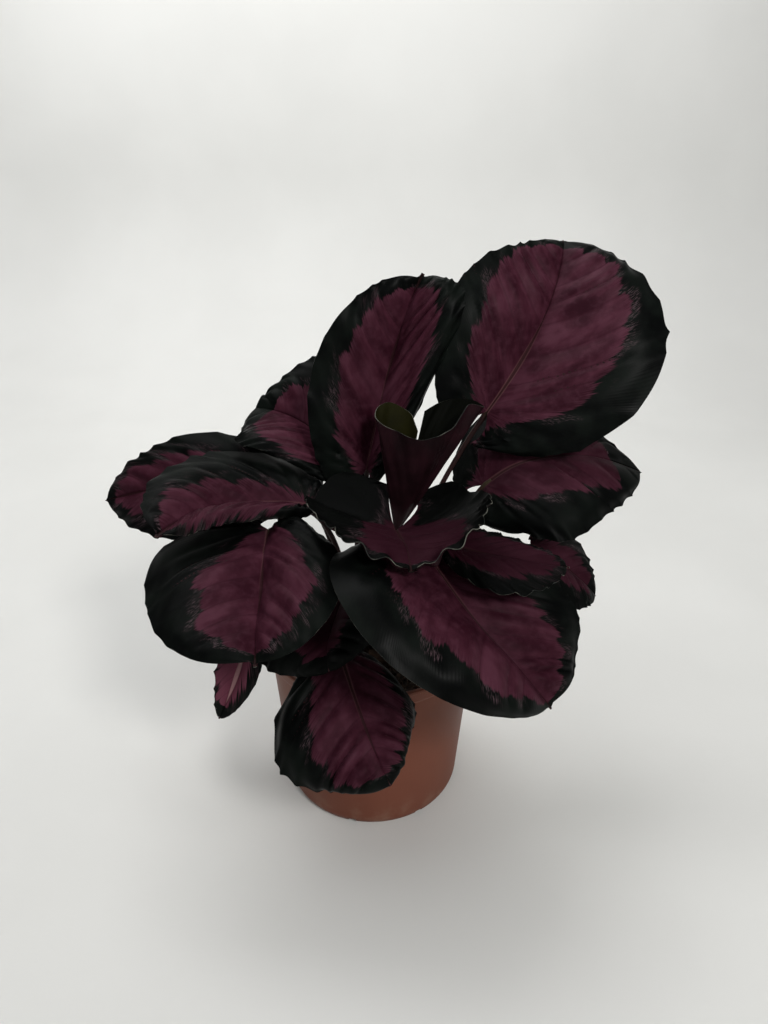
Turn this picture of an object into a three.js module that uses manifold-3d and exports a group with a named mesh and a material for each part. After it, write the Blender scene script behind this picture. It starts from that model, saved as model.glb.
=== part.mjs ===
// A potted prayer plant with crimson-centred leaves, in millimetres with +Z up.
// The origin is the middle of the pot's underside, which stands on the floor.
// The leaves that hang in front point along -Y, and the tall ones lean back along +Y.
import * as THREE from "three";
import { mergeVertices } from "three/addons/utils/BufferGeometryUtils.js";
import Module from "manifold-3d";

const wasm = await Module();
wasm.setup();

// The pot, a thin tapered nursery pot with a rounded foot and a band under its lip
const potHeight = 128;
const potBaseRadius = 62;
const potFootRadius = 67.5;
const potFootHeight = 9;
const potFootSteps = 3;
const potNeckRadius = 76.5;
const potWall = 1.5;
const potFloor = 2;
const bandHeight = 13;
const bandStep = 2;
const lipWidth = 2.5;
const lipHeight = 3;
const bandDraft = 1;
const potSides = 48;

// Drain slots through the bottom edge of the pot
const slotCount = 8;
const slotWidth = 6;
const slotHeight = 4.5;
const slotDepth = 9;
const slotTurn = -13;

// The potting soil and the rhizome that sits in its top
const soilLevel = 112;
const soilGap = 0.4;
const rhizomeRadius = 25;
const rhizomeTop = 117;
const rhizomeDepth = 14;
const rhizomeShoulder = 4;
const soilDip = 1;

// Leaf blades and stalks
const bladeThickness = 0.8;
const stalkRadius = 2.1;
const joinGap = 0.6;
const stalkSlope = 0.25;
const stalkRun = 0.22;
const stalkLean = 0.12;
const stalkRise = 0.4;
const widestAt = 0.45;
const sinusWidth = 7;
const liftCurve = 1.3;
const sinusTurn = 0.8;
const rowReach = 0.06;
const rowsAhead = 8;
const columns = 3;
const leastWidth = 0.03;
const tipTaper = 0.85;
const roundness = 0.6;

// Each leaf by the places that were measured on it: where the stalk joins, the middle
// and tip of the midrib, and the margin left and right of it at the widest place, seen
// from above with the tip ahead. arch is how far each half bulges up, lobe how far the
// blade reaches back past the stalk as a share of its length, and foot where the stalk
// leaves the rhizome. blunt keeps a half full toward both its ends where it is under 1.
// One leaf is a cup round the youngest: sinus is its notch on each side, lift how far each
// lobe rises, and run the short end of its stalk.
const leaves = [
  { name: "upper_right", foot: [12, 3], base: [82, 21, 293], middle: [122, 46, 354],
    tip: [140, 84, 402], left: [64, 41, 385], right: [199, 13, 336], arch: [4, 6], lobe: 0.18 },
  { name: "top", foot: [5, 12], base: [-3, 19, 251], middle: [14, 32, 326],
    tip: [34, 35, 383], left: [-37, 21, 333], right: [62, 20, 358], arch: [4, 9],
    lobe: 0.14, blunt: [0.92, 1.11] },
  { name: "back_left", foot: [-12, 12], base: [-18, 26, 243], middle: [-47, 40, 276],
    tip: [-86, 55, 285], left: [-91, 13, 273], right: [-6, 65, 322], arch: [4, 4],
    lobe: 0.12, blunt: [0.8, 1.5] },
  { name: "far_left", foot: [-16, 8], base: [-63, 26, 234], middle: [-134, 26, 235],
    tip: [-202, 37, 218], left: [-127, -5, 204], right: [-130, 43, 270], arch: [5, 5], lobe: 0.03 },
  { name: "upper_left", foot: [-13, 0], base: [-46, -6, 232], middle: [-101, -20, 238],
    tip: [-132, -62, 238], left: [-89, -44, 242], right: [-116, 19, 262], arch: [3, 5],
    lobe: 0.12, blunt: [0.92, 0.83] },
  { name: "lower_left", foot: [-17, -8], base: [-71, -16, 219], middle: [-69, -67, 205],
    tip: [-65, -122, 186], left: [-16, -93, 222], right: [-144, -68, 206], arch: [8, 8],
    lobe: 0.12, blunt: [0.92, 0.54] },
  { name: "low_left", foot: [-16, -16], base: [-78, -50, 174], middle: [-87, -70, 143],
    tip: [-100, -80, 112], left: [-73, -75, 142], right: [-98, -70, 159], arch: [2, 2], lobe: 0.03 },
  { name: "low_middle", foot: [-6, -12], base: [-14, -32, 188], middle: [-24, -68, 176],
    tip: [-25, -91, 158], left: [25, -72, 193], right: [-74, -62, 150], arch: [5, 5], lobe: 0.03 },
  { name: "front", foot: [-5, -20], base: [-22, -54, 149], middle: [-4, -104, 128],
    tip: [12, -125, 100], left: [31, -86, 128], right: [-60, -115, 106], arch: [7, 7],
    lobe: 0.03, blunt: [1.19, 0.92] },
  { name: "front_right", foot: [10, -15], base: [36, -46, 216], middle: [65, -94, 195],
    tip: [109, -114, 149], left: [127, -72, 200], right: [-9, -133, 225], arch: [1, 8],
    lobe: 0.03, blunt: [0.65, 0.96] },
  { name: "middle", run: 0.06, foot: [0, -8], base: [17, -27, 222], middle: [21, -70, 236],
    tip: [25, -100, 236], left: [74, -57, 262], right: [-39, -57, 258], arch: [-7, -3],
    lobe: 0.27, blunt: [0.42, 0.45], sinus: [19, 3], lift: [16, 32] },
  { name: "right", foot: [15, -6], base: [43, -36, 225], middle: [80, -56, 219],
    tip: [121, -75, 223], left: [93, -29, 219], right: [77, -100, 218], arch: [3, 5], lobe: 0.03 },
  { name: "far_right", foot: [20, 0], base: [117, 5, 195], middle: [146, 5, 176],
    tip: [168, 3, 155], left: [158, 35, 186], right: [135, -31, 167], arch: [3, 3], lobe: 0.03 },
  { name: "middle_right", foot: [16, 9], base: [80, 4, 244], middle: [129, 9, 264],
    tip: [197, 26, 246], left: [112, 54, 290], right: [137, -44, 228], arch: [1, 5], lobe: 0.17 },
];

// The youngest leaf is still rolled: a funnel on a stalk, whose rim runs from the
// margin inside the roll, round the back and the left, along the front and round behind
const youngFoot = [7, 5];
const youngBase = [17, -14, 214];
const youngRim = [
  [32, -9, 288], [27, 1, 297], [13, 5, 304], [4, -1, 301], [7, -11, 294], [20, -20, 290],
  [33, -24, 287], [46, -22, 289], [56, -14, 295], [66, -6, 305], [76, 2, 302],
  [70, 10, 304], [57, 14, 304], [46, 13, 301], [37, 11, 296],
];
const youngStart = 0.08;
const youngSwell = 0.95;
const youngLean = [0.2, 0, 1];
const youngInset = 2;
const youngRows = 8;
const youngColumns = 30;

const potPlastic = { color: 0x8a4f38, roughness: 0.55, metalness: 0 };
const peat = { color: 0x2a1c14, roughness: 0.95, metalness: 0 };
const rhizomeSkin = { color: 0x4a3326, roughness: 0.85, metalness: 0 };
const stalkSkin = { color: 0x2b1518, roughness: 0.6, metalness: 0 };
const bladeSkin = { color: 0x5a2438, roughness: 0.45, metalness: 0 };

const vector = (list) => new THREE.Vector3(...list);
const mix = (a, b, share) => a.clone().lerp(b, share);
const degrees = THREE.MathUtils.degToRad;

function piece(name, geometry, look) {
  const mesh = new THREE.Mesh(geometry, new THREE.MeshStandardMaterial(look));
  mesh.name = name;
  return mesh;
}

function toManifold(geometry) {
  geometry.deleteAttribute("normal");
  geometry.deleteAttribute("uv");
  const merged = mergeVertices(geometry);
  return new wasm.Manifold(
    new wasm.Mesh({
      numProp: 3,
      vertProperties: new Float32Array(merged.attributes.position.array),
      triVerts: new Uint32Array(merged.index.array),
    })
  );
}

function fromManifold(solid) {
  const { vertProperties, triVerts } = solid.getMesh();
  const geometry = new THREE.BufferGeometry();
  geometry.setAttribute("position", new THREE.BufferAttribute(vertProperties, 3));
  geometry.setIndex(new THREE.BufferAttribute(triVerts, 1));
  return geometry;
}

// A profile of [radius, height] points turned about Z
function turned(profile) {
  const points = profile.map(([radius, height]) => new THREE.Vector2(radius, height));
  return new THREE.LatheGeometry(points, potSides).rotateX(Math.PI / 2);
}

// The outer radius of the pot below its band
function potRadius(height) {
  if (height < potFootHeight) {
    const round = Math.sqrt(1 - (1 - height / potFootHeight) ** 2);
    return potBaseRadius + (potFootRadius - potBaseRadius) * round;
  }
  const share = (height - potFootHeight) / (potHeight - bandHeight - potFootHeight);
  return potFootRadius + (potNeckRadius - potFootRadius) * share;
}

// Points of the pot's rounded foot between two heights, inset by a wall
function footLine(from, inset) {
  const line = [];
  for (let i = 0; i <= potFootSteps; i++) {
    const share = 1 - Math.cos((i / potFootSteps) * (Math.PI / 2));
    const height = from + (potFootHeight - from) * share;
    line.push([potRadius(height) - inset, height]);
  }
  return line;
}

// The pot is turned as one thin wall, and its drain slots are cut out of its bottom edge
function makePot() {
  const bandFoot = potHeight - bandHeight;
  const lipFoot = potHeight - lipHeight;
  const bandRadius = potNeckRadius + bandStep;
  const wall = turned([
    [0, 0],
    ...footLine(0, 0),
    [potNeckRadius, bandFoot],
    [bandRadius, bandFoot + bandStep],
    [bandRadius + bandDraft, lipFoot],
    [bandRadius + lipWidth, lipFoot],
    [bandRadius + lipWidth, potHeight],
    [bandRadius + bandDraft - potWall, potHeight],
    [bandRadius - potWall, bandFoot + bandStep],
    [potNeckRadius - potWall, bandFoot],
    ...footLine(potFloor, potWall).reverse(),
    [0, potFloor],
  ]);
  let solid = toManifold(wall);
  for (let i = 0; i < slotCount; i++) {
    const slot = new THREE.BoxGeometry(2 * slotDepth, slotWidth, 2 * slotHeight);
    slot.translate(potBaseRadius, 0, 0);
    slot.rotateZ(degrees(slotTurn - 90) + (i * 2 * Math.PI) / slotCount);
    solid = solid.subtract(toManifold(slot));
  }
  return piece("pot", fromManifold(solid), potPlastic);
}

// The soil fills the pot to below its band, with a seat for the rhizome in its top
function makeSoil() {
  const foot = potFloor + soilGap;
  const seatRadius = rhizomeRadius + soilGap;
  const seatFoot = rhizomeTop - rhizomeDepth - soilGap;
  const profile = [
    [0, foot],
    ...footLine(foot, potWall + soilGap),
    [potRadius(soilLevel - soilDip) - potWall - soilGap, soilLevel - soilDip],
    [seatRadius, soilLevel],
    [seatRadius, seatFoot],
    [0, seatFoot],
  ];
  return piece("potting_soil", turned(profile), peat);
}

// The rhizome is the short thick stem that every stalk grows from
function makeRhizome() {
  const foot = rhizomeTop - rhizomeDepth;
  const profile = [
    [0, foot],
    [rhizomeRadius - rhizomeShoulder, foot],
    [rhizomeRadius, foot + rhizomeShoulder],
    [rhizomeRadius, rhizomeTop - rhizomeShoulder],
    [rhizomeRadius - rhizomeShoulder, rhizomeTop],
    [0, rhizomeTop],
  ];
  return piece("rhizome", turned(profile), rhizomeSkin);
}

// A thin solid from a sheet of points, each a thickness / 2 above and below it. Quads
// run round the sheet's upper side, and edges used by one quad alone get a wall.
function thicken(points, quads, thickness) {
  const normals = points.map(() => new THREE.Vector3());
  for (const quad of quads) {
    const [a, b, c, d] = quad.map((k) => points[k]);
    const normal = c.clone().sub(a).cross(d.clone().sub(b));
    for (const k of quad) normals[k].add(normal);
  }
  const count = points.length;
  const positions = [];
  for (const side of [0.5, -0.5]) {
    points.forEach((point, k) => {
      const lifted = point.clone().addScaledVector(normals[k].normalize(), side * thickness);
      positions.push(lifted.x, lifted.y, lifted.z);
    });
  }
  const used = new Set();
  const triangles = [];
  for (const [a, b, c, d] of quads) {
    triangles.push(a, b, c, a, c, d);
    triangles.push(count + a, count + c, count + b, count + a, count + d, count + c);
    for (const [from, to] of [[a, b], [b, c], [c, d], [d, a]]) used.add(`${from} ${to}`);
  }
  for (const edge of used) {
    const [from, to] = edge.split(" ").map(Number);
    if (used.has(`${to} ${from}`)) continue;
    triangles.push(to, from, count + from, to, count + from, count + to);
  }
  const geometry = new THREE.BufferGeometry();
  geometry.setAttribute("position", new THREE.Float32BufferAttribute(positions, 3));
  geometry.setIndex(triangles);
  return geometry;
}

// How wide the blade is at a share of its whole length, 1 at the widest
function fullness(share) {
  return Math.max(leastWidth, Math.sin(Math.PI * share ** tipTaper) ** roundness);
}

// The midrib runs through base, middle and tip as one bend
function midribOf(leaf) {
  const [base, middle, tip] = [leaf.base, leaf.middle, leaf.tip].map(vector);
  const bend = middle.multiplyScalar(2).sub(mix(base, tip, 0.5));
  return new THREE.QuadraticBezierCurve3(base, bend, tip);
}

// The way that a leaf's upper side faces at its widest place
function upperSide(leaf, midrib) {
  const across = vector(leaf.right).sub(vector(leaf.left));
  return across.cross(midrib.getTangent(widestAt)).normalize();
}

// A blade has rows along its midrib and columns out to each margin. Behind the stalk
// the two halves part into lobes, with a notch between them that closes again behind.
function bladeSheet(leaf) {
  const midrib = midribOf(leaf);
  const reach = midrib.getTangentAt(0).multiplyScalar(midrib.getLength());
  const wideTangent = midrib.getTangent(widestAt);
  const wideShare = (widestAt + leaf.lobe) / (1 + leaf.lobe);
  const up = upperSide(leaf, midrib);
  const blunt = leaf.blunt ?? [1, 1];
  const halves = [leaf.left, leaf.right].map((edge) => {
    const out = vector(edge).sub(midrib.getPoint(widestAt));
    const along = out.clone().normalize();
    const rise = up.clone().addScaledVector(along, -up.dot(along)).normalize();
    return { out, rise };
  });
  const rows = [];
  const rowsBehind = Math.ceil(leaf.lobe / rowReach);
  for (let i = 0; i < rowsBehind; i++) {
    rows.push(-leaf.lobe * Math.cos((i / rowsBehind) * (Math.PI / 2)));
  }
  for (let i = 0; i <= rowsAhead; i++) {
    rows.push(Math.sin((i / rowsAhead) * (Math.PI / 2)));
  }

  function place(row, side, share) {
    const ahead = Math.max(row, 0);
    const behind = Math.max(-row, 0);
    const back = behind / leaf.lobe;
    const turn = new THREE.Quaternion().setFromUnitVectors(wideTangent, midrib.getTangent(ahead));
    const { out, rise } = halves[side];
    const width = (fullness((row + leaf.lobe) / (1 + leaf.lobe)) / fullness(wideShare)) ** blunt[side];
    const open = Math.sin(Math.PI * sinusTurn * back);
    const notch = ((leaf.sinus?.[side] ?? sinusWidth) / out.length()) * open;
    const offset = out.clone().multiplyScalar(notch + share * width * (1 - notch));
    offset.addScaledVector(rise, 4 * leaf.arch[side] * share * (1 - share) * width);
    const start = midrib.getPoint(ahead).addScaledVector(reach, -behind);
    start.addScaledVector(up, (leaf.lift?.[side] ?? 0) * back ** liftCurve);
    return start.add(offset.applyQuaternion(turn));
  }

  const points = [];
  const index = [];
  for (const row of rows) {
    const line = [[], []];
    for (const side of [0, 1]) {
      for (let j = 0; j <= columns; j++) {
        if (side === 1 && j === 0 && row >= 0) {
          line[1].push(line[0][0]);
          continue;
        }
        line[side].push(points.length);
        points.push(place(row, side, j / columns));
      }
    }
    index.push(line);
  }
  const quads = [];
  for (let i = 0; i + 1 < rows.length; i++) {
    for (let j = 0; j < columns; j++) {
      const [here, next] = [index[i], index[i + 1]];
      quads.push([here[0][j + 1], here[0][j], next[0][j], next[0][j + 1]]);
      quads.push([here[1][j], here[1][j + 1], next[1][j + 1], next[1][j]]);
    }
  }
  return { points, quads };
}

// The rolled leaf is a cone from its base to the rim, a little swollen
function youngSheet() {
  const base = vector(youngBase);
  const rim = new THREE.CatmullRomCurve3(youngRim.map(vector));
  const points = [];
  const quads = [];
  for (let i = 0; i <= youngRows; i++) {
    const share = youngStart + ((1 - youngStart) * i) / youngRows;
    const spread = new THREE.Vector3(share ** youngSwell, share ** youngSwell, share);
    for (let j = 0; j <= youngColumns; j++) {
      points.push(rim.getPoint(j / youngColumns).sub(base).multiply(spread).add(base));
    }
  }
  const wide = youngColumns + 1;
  for (let i = 0; i < youngRows; i++) {
    for (let j = 0; j < youngColumns; j++) {
      const k = i * wide + j;
      quads.push([k, k + 1, k + wide + 1, k + wide]);
    }
  }
  return { points, quads };
}

// A stalk rises from its foot on the rhizome and ends under the blade, along heading
function makeStalk(name, foot, end, heading, follow) {
  const start = new THREE.Vector3(foot[0], foot[1], rhizomeTop + 2 * joinGap);
  const span = start.distanceTo(end);
  const lean = new THREE.Vector3(end.x - start.x, end.y - start.y, 0).multiplyScalar(stalkLean);
  const rise = start.clone().add(lean).add(new THREE.Vector3(0, 0, stalkRise * span));
  const run = end.clone().addScaledVector(heading, -follow * span);
  const path = new THREE.CubicBezierCurve3(start, rise, run, end);
  const round = new THREE.Shape().absarc(0, 0, stalkRadius, 0, 2 * Math.PI);
  const settings = { steps: 9, curveSegments: 4, bevelEnabled: false, extrudePath: path };
  return piece(name, new THREE.ExtrudeGeometry(round, settings), stalkSkin);
}

const plant = new THREE.Group();
plant.add(makePot(), makeSoil(), makeRhizome());

for (const leaf of leaves) {
  const { points, quads } = bladeSheet(leaf);
  plant.add(piece(`leaf_${leaf.name}`, thicken(points, quads, bladeThickness), bladeSkin));
  const midrib = midribOf(leaf);
  const tangent = midrib.getTangent(0);
  const under = upperSide(leaf, midrib).negate();
  const heading = tangent.clone().addScaledVector(under, -stalkSlope).normalize();
  const end = vector(leaf.base).addScaledVector(under, bladeThickness / 2 + stalkRadius + joinGap);
  plant.add(makeStalk(`stalk_${leaf.name}`, leaf.foot, end, heading, leaf.run ?? stalkRun));
}

const young = youngSheet();
plant.add(piece("leaf_young", thicken(young.points, young.quads, bladeThickness), bladeSkin));
const youngHeading = vector(youngLean).normalize();
const youngEnd = vector(youngBase).addScaledVector(youngHeading, youngInset);
plant.add(makeStalk("stalk_young", youngFoot, youngEnd, youngHeading, stalkRun));

export default plant;
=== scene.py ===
import math

import bmesh
import bpy
import numpy as np
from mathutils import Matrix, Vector

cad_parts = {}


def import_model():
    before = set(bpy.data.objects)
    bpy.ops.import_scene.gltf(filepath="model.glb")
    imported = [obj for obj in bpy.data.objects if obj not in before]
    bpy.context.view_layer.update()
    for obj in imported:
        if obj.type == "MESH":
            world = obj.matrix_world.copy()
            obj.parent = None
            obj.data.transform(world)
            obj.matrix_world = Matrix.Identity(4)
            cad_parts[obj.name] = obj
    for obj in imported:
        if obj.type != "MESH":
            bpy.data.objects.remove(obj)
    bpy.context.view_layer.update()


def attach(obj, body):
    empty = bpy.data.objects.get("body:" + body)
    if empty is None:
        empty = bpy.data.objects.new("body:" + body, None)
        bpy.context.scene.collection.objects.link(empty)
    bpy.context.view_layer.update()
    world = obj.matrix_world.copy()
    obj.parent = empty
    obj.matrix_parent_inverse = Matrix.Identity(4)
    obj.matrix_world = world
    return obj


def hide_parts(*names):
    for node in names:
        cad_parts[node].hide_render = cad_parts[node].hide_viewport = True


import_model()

# Camera. It stands in front of the plant, just higher than the tallest leaf, and looks
# down on it, as the photograph does: the middle leaves are seen a little from above.
SENSOR = 36.0
FRAME_HEIGHT = 1024
FOCAL_PIXELS = 700
AXIS_ROW = 474
eye = Vector((0.009, -0.455, 0.432))
look_down = math.radians(21.4)

camera = bpy.data.objects.new("camera", bpy.data.cameras.new("camera"))
camera.location = eye
camera.rotation_euler = (math.pi / 2 - look_down, 0, 0)
camera.data.sensor_width = SENSOR
camera.data.lens = SENSOR * FOCAL_PIXELS / FRAME_HEIGHT
camera.data.shift_y = (AXIS_ROW - FRAME_HEIGHT / 2) / FRAME_HEIGHT
bpy.context.scene.collection.objects.link(camera)
bpy.context.scene.camera = camera

# The pot. A thin nursery pot of satin terracotta-coloured plastic, moulded in one piece
# with a rounded foot and a wider band under its lip. Eight drain slots are let into its
# bottom edge.
POT_HEIGHT = 0.128
POT_BASE = 0.062
POT_FOOT = 0.0675
POT_FOOT_HEIGHT = 0.009
POT_FOOT_STEPS = 9
POT_NECK = 0.0765
POT_WALL = 0.0015
POT_FLOOR = 0.002
BAND_HEIGHT = 0.013
BAND_STEP = 0.002
BAND_DRAFT = 0.001
LIP_WIDTH = 0.0025
LIP_HEIGHT = 0.003
POT_EDGE = 0.0012
POT_SIDES = 192
POT_CREASE = 50
SLOTS = 8
SLOT_WIDTH = 0.006
SLOT_HEIGHT = 0.0045
SLOT_DEPTH = 0.009
SLOT_TURN = math.radians(-13 - 90)


def solid(name, points, faces, materials, face_material=None, crease=60):
    """A smooth-shaded mesh object in the shared frame, with its hard edges kept."""
    mesh = bpy.data.meshes.new(name)
    mesh.from_pydata([tuple(p) for p in points], [], faces)
    for material in materials:
        mesh.materials.append(material)
    if face_material is not None:
        mesh.polygons.foreach_set("material_index", face_material)
    mesh.polygons.foreach_set("use_smooth", [True] * len(mesh.polygons))
    mesh.set_sharp_from_angle(angle=math.radians(crease))
    mesh.update()
    made = bpy.data.objects.new(name, mesh)
    bpy.context.scene.collection.objects.link(made)
    return made


def place(piece, slot, *nodes):
    """Attaches the piece to the root body and hides the plain solids it stands for. slot, the finish, is
    not used.
    """
    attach(piece, "root")
    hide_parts(*nodes)


def rounded(corners, radius, steps=4):
    """A profile of (radius, height) corners, each of its inner corners cut by an arc."""
    profile = [corners[0]]
    for before, corner, after in zip(corners, corners[1:], corners[2:]):
        corner, before, after = Vector(corner), Vector(before), Vector(after)
        reach = min(radius, (before - corner).length * 0.45, (after - corner).length * 0.45)
        start = corner + (before - corner).normalized() * reach
        end = corner + (after - corner).normalized() * reach
        for k in range(steps + 1):
            share = k / steps
            profile.append(tuple(start.lerp(corner, share).lerp(corner.lerp(end, share), share)))
    profile.append(corners[-1])
    return profile


def lathe(profile, sides):
    """Points and faces of a profile turned about Z, whose two ends lie on the axis."""
    inner = profile[1:-1]
    points = [(0, 0, profile[0][1])]
    for radius, height in inner:
        for k in range(sides):
            angle = 2 * math.pi * k / sides
            points.append((radius * math.cos(angle), radius * math.sin(angle), height))
    points.append((0, 0, profile[-1][1]))
    faces = []
    last = len(points) - 1
    for k in range(sides):
        turn = (k + 1) % sides
        faces.append((0, 1 + turn, 1 + k))
        for ring in range(len(inner) - 1):
            low = 1 + ring * sides
            high = low + sides
            faces.append((low + k, low + turn, high + turn, high + k))
        faces.append((last, last - sides + k, last - sides + turn))
    return points, faces


def node(tree, kind, inputs=None, **settings):
    """A shader node, with each of its inputs set to a value or wired to a socket."""
    made = tree.nodes.new("ShaderNode" + kind)
    for key, value in settings.items():
        setattr(made, key, value)
    for key, value in (inputs or {}).items():
        if isinstance(value, bpy.types.NodeSocket):
            tree.links.new(value, made.inputs[key])
        else:
            made.inputs[key].default_value = value
    return made


def calc(tree, operation, *values):
    """The result socket of a Math node."""
    return node(tree, "Math", dict(enumerate(values)), operation=operation).outputs[0]


def ramp(tree, value, low, high, start=0.0, end=1.0):
    """value taken smoothly from low..high to start..end."""
    inputs = {"Value": value, "From Min": low, "From Max": high, "To Min": start, "To Max": end}
    return node(tree, "MapRange", inputs, interpolation_type="SMOOTHSTEP").outputs["Result"]


def blend(tree, share, first, second):
    """Two colours mixed by share."""
    made = node(tree, "Mix", {0: share, 6: first, 7: second}, data_type="RGBA")
    return made.outputs[2]


def grain(tree, vector, scale, detail=3.0, stretch=(1, 1, 1)):
    """Noise from 0 to 1 over vector, finer along the axes that stretch makes large."""
    mapped = node(tree, "Mapping", {"Vector": vector, "Scale": stretch})
    inputs = {"Vector": mapped.outputs[0], "Scale": scale, "Detail": detail}
    return node(tree, "TexNoise", inputs).outputs["Fac"]


def finish(name, build, **plain):
    """A material: build gives (colour, roughness, height, height in metres) from its node
    tree, and plain holds the shader's own constants."""
    material = bpy.data.materials.new(name)
    material.use_nodes = True
    tree = material.node_tree
    shader = tree.nodes["Principled BSDF"]
    colour, roughness, height, depth = build(tree)
    tree.links.new(colour, shader.inputs["Base Color"])
    tree.links.new(roughness, shader.inputs["Roughness"])
    bump = node(tree, "Bump", {"Height": height, "Distance": depth, "Strength": 1.0})
    tree.links.new(bump.outputs[0], shader.inputs["Normal"])
    for key, value in plain.items():
        shader.inputs[key.replace("_", " ")].default_value = value
    return material


TERRACOTTA = (0.178, 0.060, 0.036, 1)
TERRACOTTA_DARK = (0.145, 0.045, 0.025, 1)
POT_DUST = (0.30, 0.20, 0.14, 1)


def terracotta_plastic(tree):
    spot = node(tree, "TexCoord").outputs["Object"]
    height = node(tree, "SeparateXYZ", {"Vector": spot}).outputs["Z"]
    cloud = grain(tree, spot, 18.0)
    # The mould leaves fine upright streaks, and wet soil has run down in places
    streak = grain(tree, spot, 1.0, 4.0, stretch=(900, 900, 14))
    speck = grain(tree, spot, 900.0, 2.0)
    colour = blend(tree, ramp(tree, cloud, 0.3, 0.7), TERRACOTTA_DARK, TERRACOTTA)
    colour = blend(tree, ramp(tree, streak, 0.2, 0.8, 0.0, 0.16), colour, TERRACOTTA_DARK)
    low = ramp(tree, height, 0.0, 0.03, 1.0, 0.0)
    stain = calc(tree, "MULTIPLY", low, ramp(tree, grain(tree, spot, 60.0, 6.0), 0.45, 0.7))
    colour = blend(tree, calc(tree, "MULTIPLY", stain, 0.35), colour, POT_DUST)
    rough = ramp(tree, cloud, 0.3, 0.7, 0.46, 0.58)
    relief = calc(tree, "ADD", streak, calc(tree, "MULTIPLY", speck, 0.6))
    return colour, rough, relief, 0.00003


pot_plastic = finish("terracotta_plastic", terracotta_plastic, Specular_IOR_Level=0.18)

band_foot = POT_HEIGHT - BAND_HEIGHT
lip_foot = POT_HEIGHT - LIP_HEIGHT
band = POT_NECK + BAND_STEP


def pot_radius(height):
    """The outer radius of the pot below its band."""
    if height < POT_FOOT_HEIGHT:
        return POT_BASE + (POT_FOOT - POT_BASE) * math.sqrt(1 - (1 - height / POT_FOOT_HEIGHT) ** 2)
    share = (height - POT_FOOT_HEIGHT) / (band_foot - POT_FOOT_HEIGHT)
    return POT_FOOT + (POT_NECK - POT_FOOT) * share


def foot_line(start, inset):
    """The pot's rounded foot from a height up, inset by a wall."""
    turns = [1 - math.cos(k / POT_FOOT_STEPS * math.pi / 2) for k in range(POT_FOOT_STEPS + 1)]
    heights = [start + (POT_FOOT_HEIGHT - start) * turn for turn in turns]
    return [(pot_radius(height) - inset, height) for height in heights]


pot_profile = rounded(
    [
        (0, 0),
        *foot_line(0, 0),
        (POT_NECK, band_foot),
        (band, band_foot + BAND_STEP),
        (band + BAND_DRAFT, lip_foot),
        (band + LIP_WIDTH, lip_foot),
        (band + LIP_WIDTH, POT_HEIGHT),
        (band + BAND_DRAFT - POT_WALL, POT_HEIGHT),
        (band - POT_WALL, band_foot + BAND_STEP),
        (POT_NECK - POT_WALL, band_foot),
        *reversed(foot_line(POT_FLOOR, POT_WALL)),
        (0, POT_FLOOR),
    ],
    POT_EDGE,
)
pot = solid("nursery_pot", *lathe(pot_profile, POT_SIDES), [pot_plastic], crease=POT_CREASE)

cutter_mesh = bmesh.new()
for k in range(SLOTS):
    angle = SLOT_TURN + 2 * math.pi * k / SLOTS
    cut = bmesh.ops.create_cube(cutter_mesh, size=1)["verts"]
    bmesh.ops.scale(cutter_mesh, verts=cut, vec=(2 * SLOT_DEPTH, SLOT_WIDTH, 2 * SLOT_HEIGHT))
    bmesh.ops.translate(cutter_mesh, verts=cut, vec=(POT_BASE, 0, 0))
    turned = Vector((math.cos(angle), math.sin(angle), 0)).to_track_quat("X", "Z").to_matrix()
    bmesh.ops.rotate(cutter_mesh, verts=cut, matrix=turned, cent=(0, 0, 0))
cutter_data = bpy.data.meshes.new("slot_cutter")
cutter_mesh.to_mesh(cutter_data)
cutter_mesh.free()
cutter = bpy.data.objects.new("slot_cutter", cutter_data)
bpy.context.scene.collection.objects.link(cutter)
slots = pot.modifiers.new("slots", "BOOLEAN")
slots.operation = "DIFFERENCE"
slots.object = cutter
bpy.context.view_layer.update()
cut_mesh = bpy.data.meshes.new_from_object(pot.evaluated_get(bpy.context.evaluated_depsgraph_get()))
pot.modifiers.clear()
pot.data = cut_mesh
pot.data.set_sharp_from_angle(angle=math.radians(POT_CREASE))
bpy.data.objects.remove(cutter)
place(pot, "pot_plastic", "pot")

# The potting soil. Moist dark peat with a little bark and grit, pressed into the pot to
# below its band. Its top is uneven, and loose crumbs of several sizes lie on it.
SOIL_LEVEL = 0.112
SOIL_GAP = 0.0004
SOIL_SINK = 0.0012
LUMP_HEIGHT = 0.0011
GRAIN_HEIGHT = 0.00025
WAVES = 14
SOIL_RINGS = 46
SOIL_SIDES = 150
CRUMBS = 620
CRUMB_SIZES = (0.0007, 0.0021)
BIG_CRUMB = 1.6
BIG_CRUMB_SHARE = 0.06
CRUMB_SINK = 0.0010
CRUMB_EDGE = 0.003
RHIZOME_RADIUS = 0.025
RHIZOME_TOP = 0.117
PEAT = (0.022, 0.013, 0.008, 1)
PEAT_DRY = (0.075, 0.046, 0.028, 1)
GRIT = (0.30, 0.26, 0.20, 1)


def peat(tree):
    spot = node(tree, "TexCoord").outputs["Object"]
    clod = grain(tree, spot, 260.0, 8.0)
    fibre = grain(tree, spot, 1.0, 4.0, stretch=(1400, 320, 900))
    fleck = ramp(tree, grain(tree, spot, 620.0, 2.0), 0.70, 0.76)
    colour = blend(tree, ramp(tree, clod, 0.38, 0.72), PEAT, PEAT_DRY)
    colour = blend(tree, ramp(tree, fibre, 0.55, 0.8, 0.0, 0.5), colour, PEAT_DRY)
    colour = blend(tree, calc(tree, "MULTIPLY", fleck, 0.5), colour, GRIT)
    rough = ramp(tree, clod, 0.3, 0.7, 0.82, 0.97)
    return colour, rough, calc(tree, "ADD", clod, fibre), 0.0012


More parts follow.
